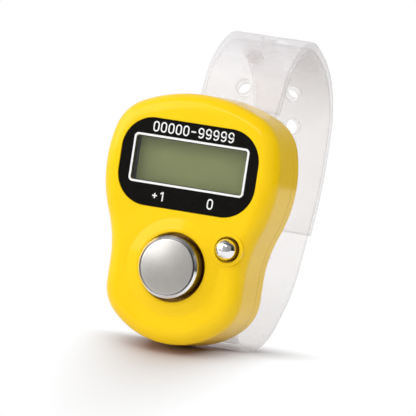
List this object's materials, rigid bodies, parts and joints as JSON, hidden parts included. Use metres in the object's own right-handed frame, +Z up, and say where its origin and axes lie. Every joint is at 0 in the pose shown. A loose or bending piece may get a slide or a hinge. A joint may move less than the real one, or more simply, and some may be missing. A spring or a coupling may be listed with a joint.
{
  "type": "finger tally counter",
  "caption": "Pear-shaped finger tally counter with a digital display, a large count button, a small reset button and a clear strap that loops round a finger.",
  "frame": {"origin": "under the middle of the whole object's box, on the surface that the case's lower end and the strap's foot stand on", "axes": "+Z up along the case's height, the case's front faces -Y, +X to the right of a person who looks at the display"},
  "size_m": [0.0308, 0.0518, 0.0539],
  "materials": {
    "yellow_case": "gloss",
    "label_black": "gloss",
    "clear_lens": "gloss",
    "lcd_glass": "satin",
    "bright_chrome": "polished",
    "satin_chrome": "satin",
    "spring_steel": "satin",
    "screw_steel": "satin",
    "cell_steel": "satin",
    "board_green": "satin",
    "epoxy_black": "matte",
    "chip_tan": "matte",
    "chip_black": "matte",
    "zebra_rubber": "matte",
    "clear_vinyl": "gloss"
  },
  "bodies": {
    "case": {"front_shell": "yellow_case", "back_shell": "yellow_case", "battery_door": "yellow_case", "door_screw": "screw_steel", "case_screws": "screw_steel", "display_lens": "clear_lens", "label_panel": "label_black", "lcd_panel": "lcd_glass", "zebra_strip": "zebra_rubber", "circuit_board": "board_green", "chip_blob": "epoxy_black", "chip_capacitor": "chip_tan", "chip_resistors": "chip_black", "count_dome": "spring_steel", "reset_dome": "spring_steel", "button_cell": "cell_steel", "contact_negative": "spring_steel", "contact_positive": "spring_steel", "finger_strap": "clear_vinyl", "strap_stud": "clear_vinyl"},
    "count": {"count_button": "bright_chrome", "count_face": "satin_chrome"},
    "reset": {"reset_button": "bright_chrome"}
  },
  "joints": [
    {"name": "count_press", "type": "slide", "parent": "case", "child": "count", "axis": [0, 1, 0], "range_m": [0, 0.0005], "stiffness_N_per_m": 2500, "deforming": ["count_dome"]},
    {"name": "reset_press", "type": "slide", "parent": "case", "child": "reset", "axis": [0, 1, 0], "range_m": [0, 0.0004], "stiffness_N_per_m": 2500, "deforming": ["reset_dome"]}
  ]
}
